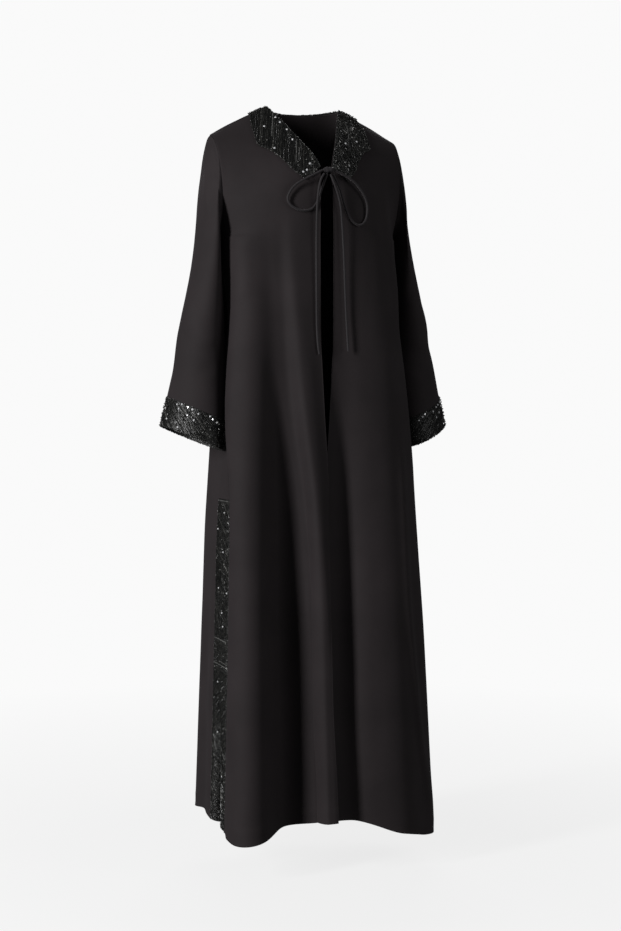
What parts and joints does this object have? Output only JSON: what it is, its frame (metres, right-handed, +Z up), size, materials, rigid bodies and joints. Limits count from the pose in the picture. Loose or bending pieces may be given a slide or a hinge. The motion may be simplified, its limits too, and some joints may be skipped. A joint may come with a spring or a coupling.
{
  "type": "abaya cloak",
  "caption": "Long open-front cloak of black crepe with a beaded collar, cuffs and side panels, tied at the neck in a bow of round cord.",
  "frame": {"origin": "midway between the two neck points of the shoulder seams, where the wearer's shoulders hold the cloak up", "axes": "+Z up along the wearer's body, the front of the cloak towards -Y, the wearer's right side at -X"},
  "size_m": [0.6317, 0.4027, 1.5122],
  "materials": {
    "crepe": "matt black crepe",
    "beaded": "black net covered with bugle beads, sequins and crystals",
    "tie": "round tube of black crepe"
  },
  "bodies": {
    "root": {"front_left": "crepe", "side_panel_left": "beaded", "sleeve_left": "crepe", "cuff_left": "beaded", "collar_left": "beaded", "bow_loop_left": "tie", "tie_tail_left": "tie", "front_right": "crepe", "side_panel_right": "beaded", "sleeve_right": "crepe", "cuff_right": "beaded", "collar_right": "beaded", "bow_loop_right": "tie", "tie_tail_right": "tie", "back": "crepe", "tie_knot": "tie"}
  },
  "joints": []
}
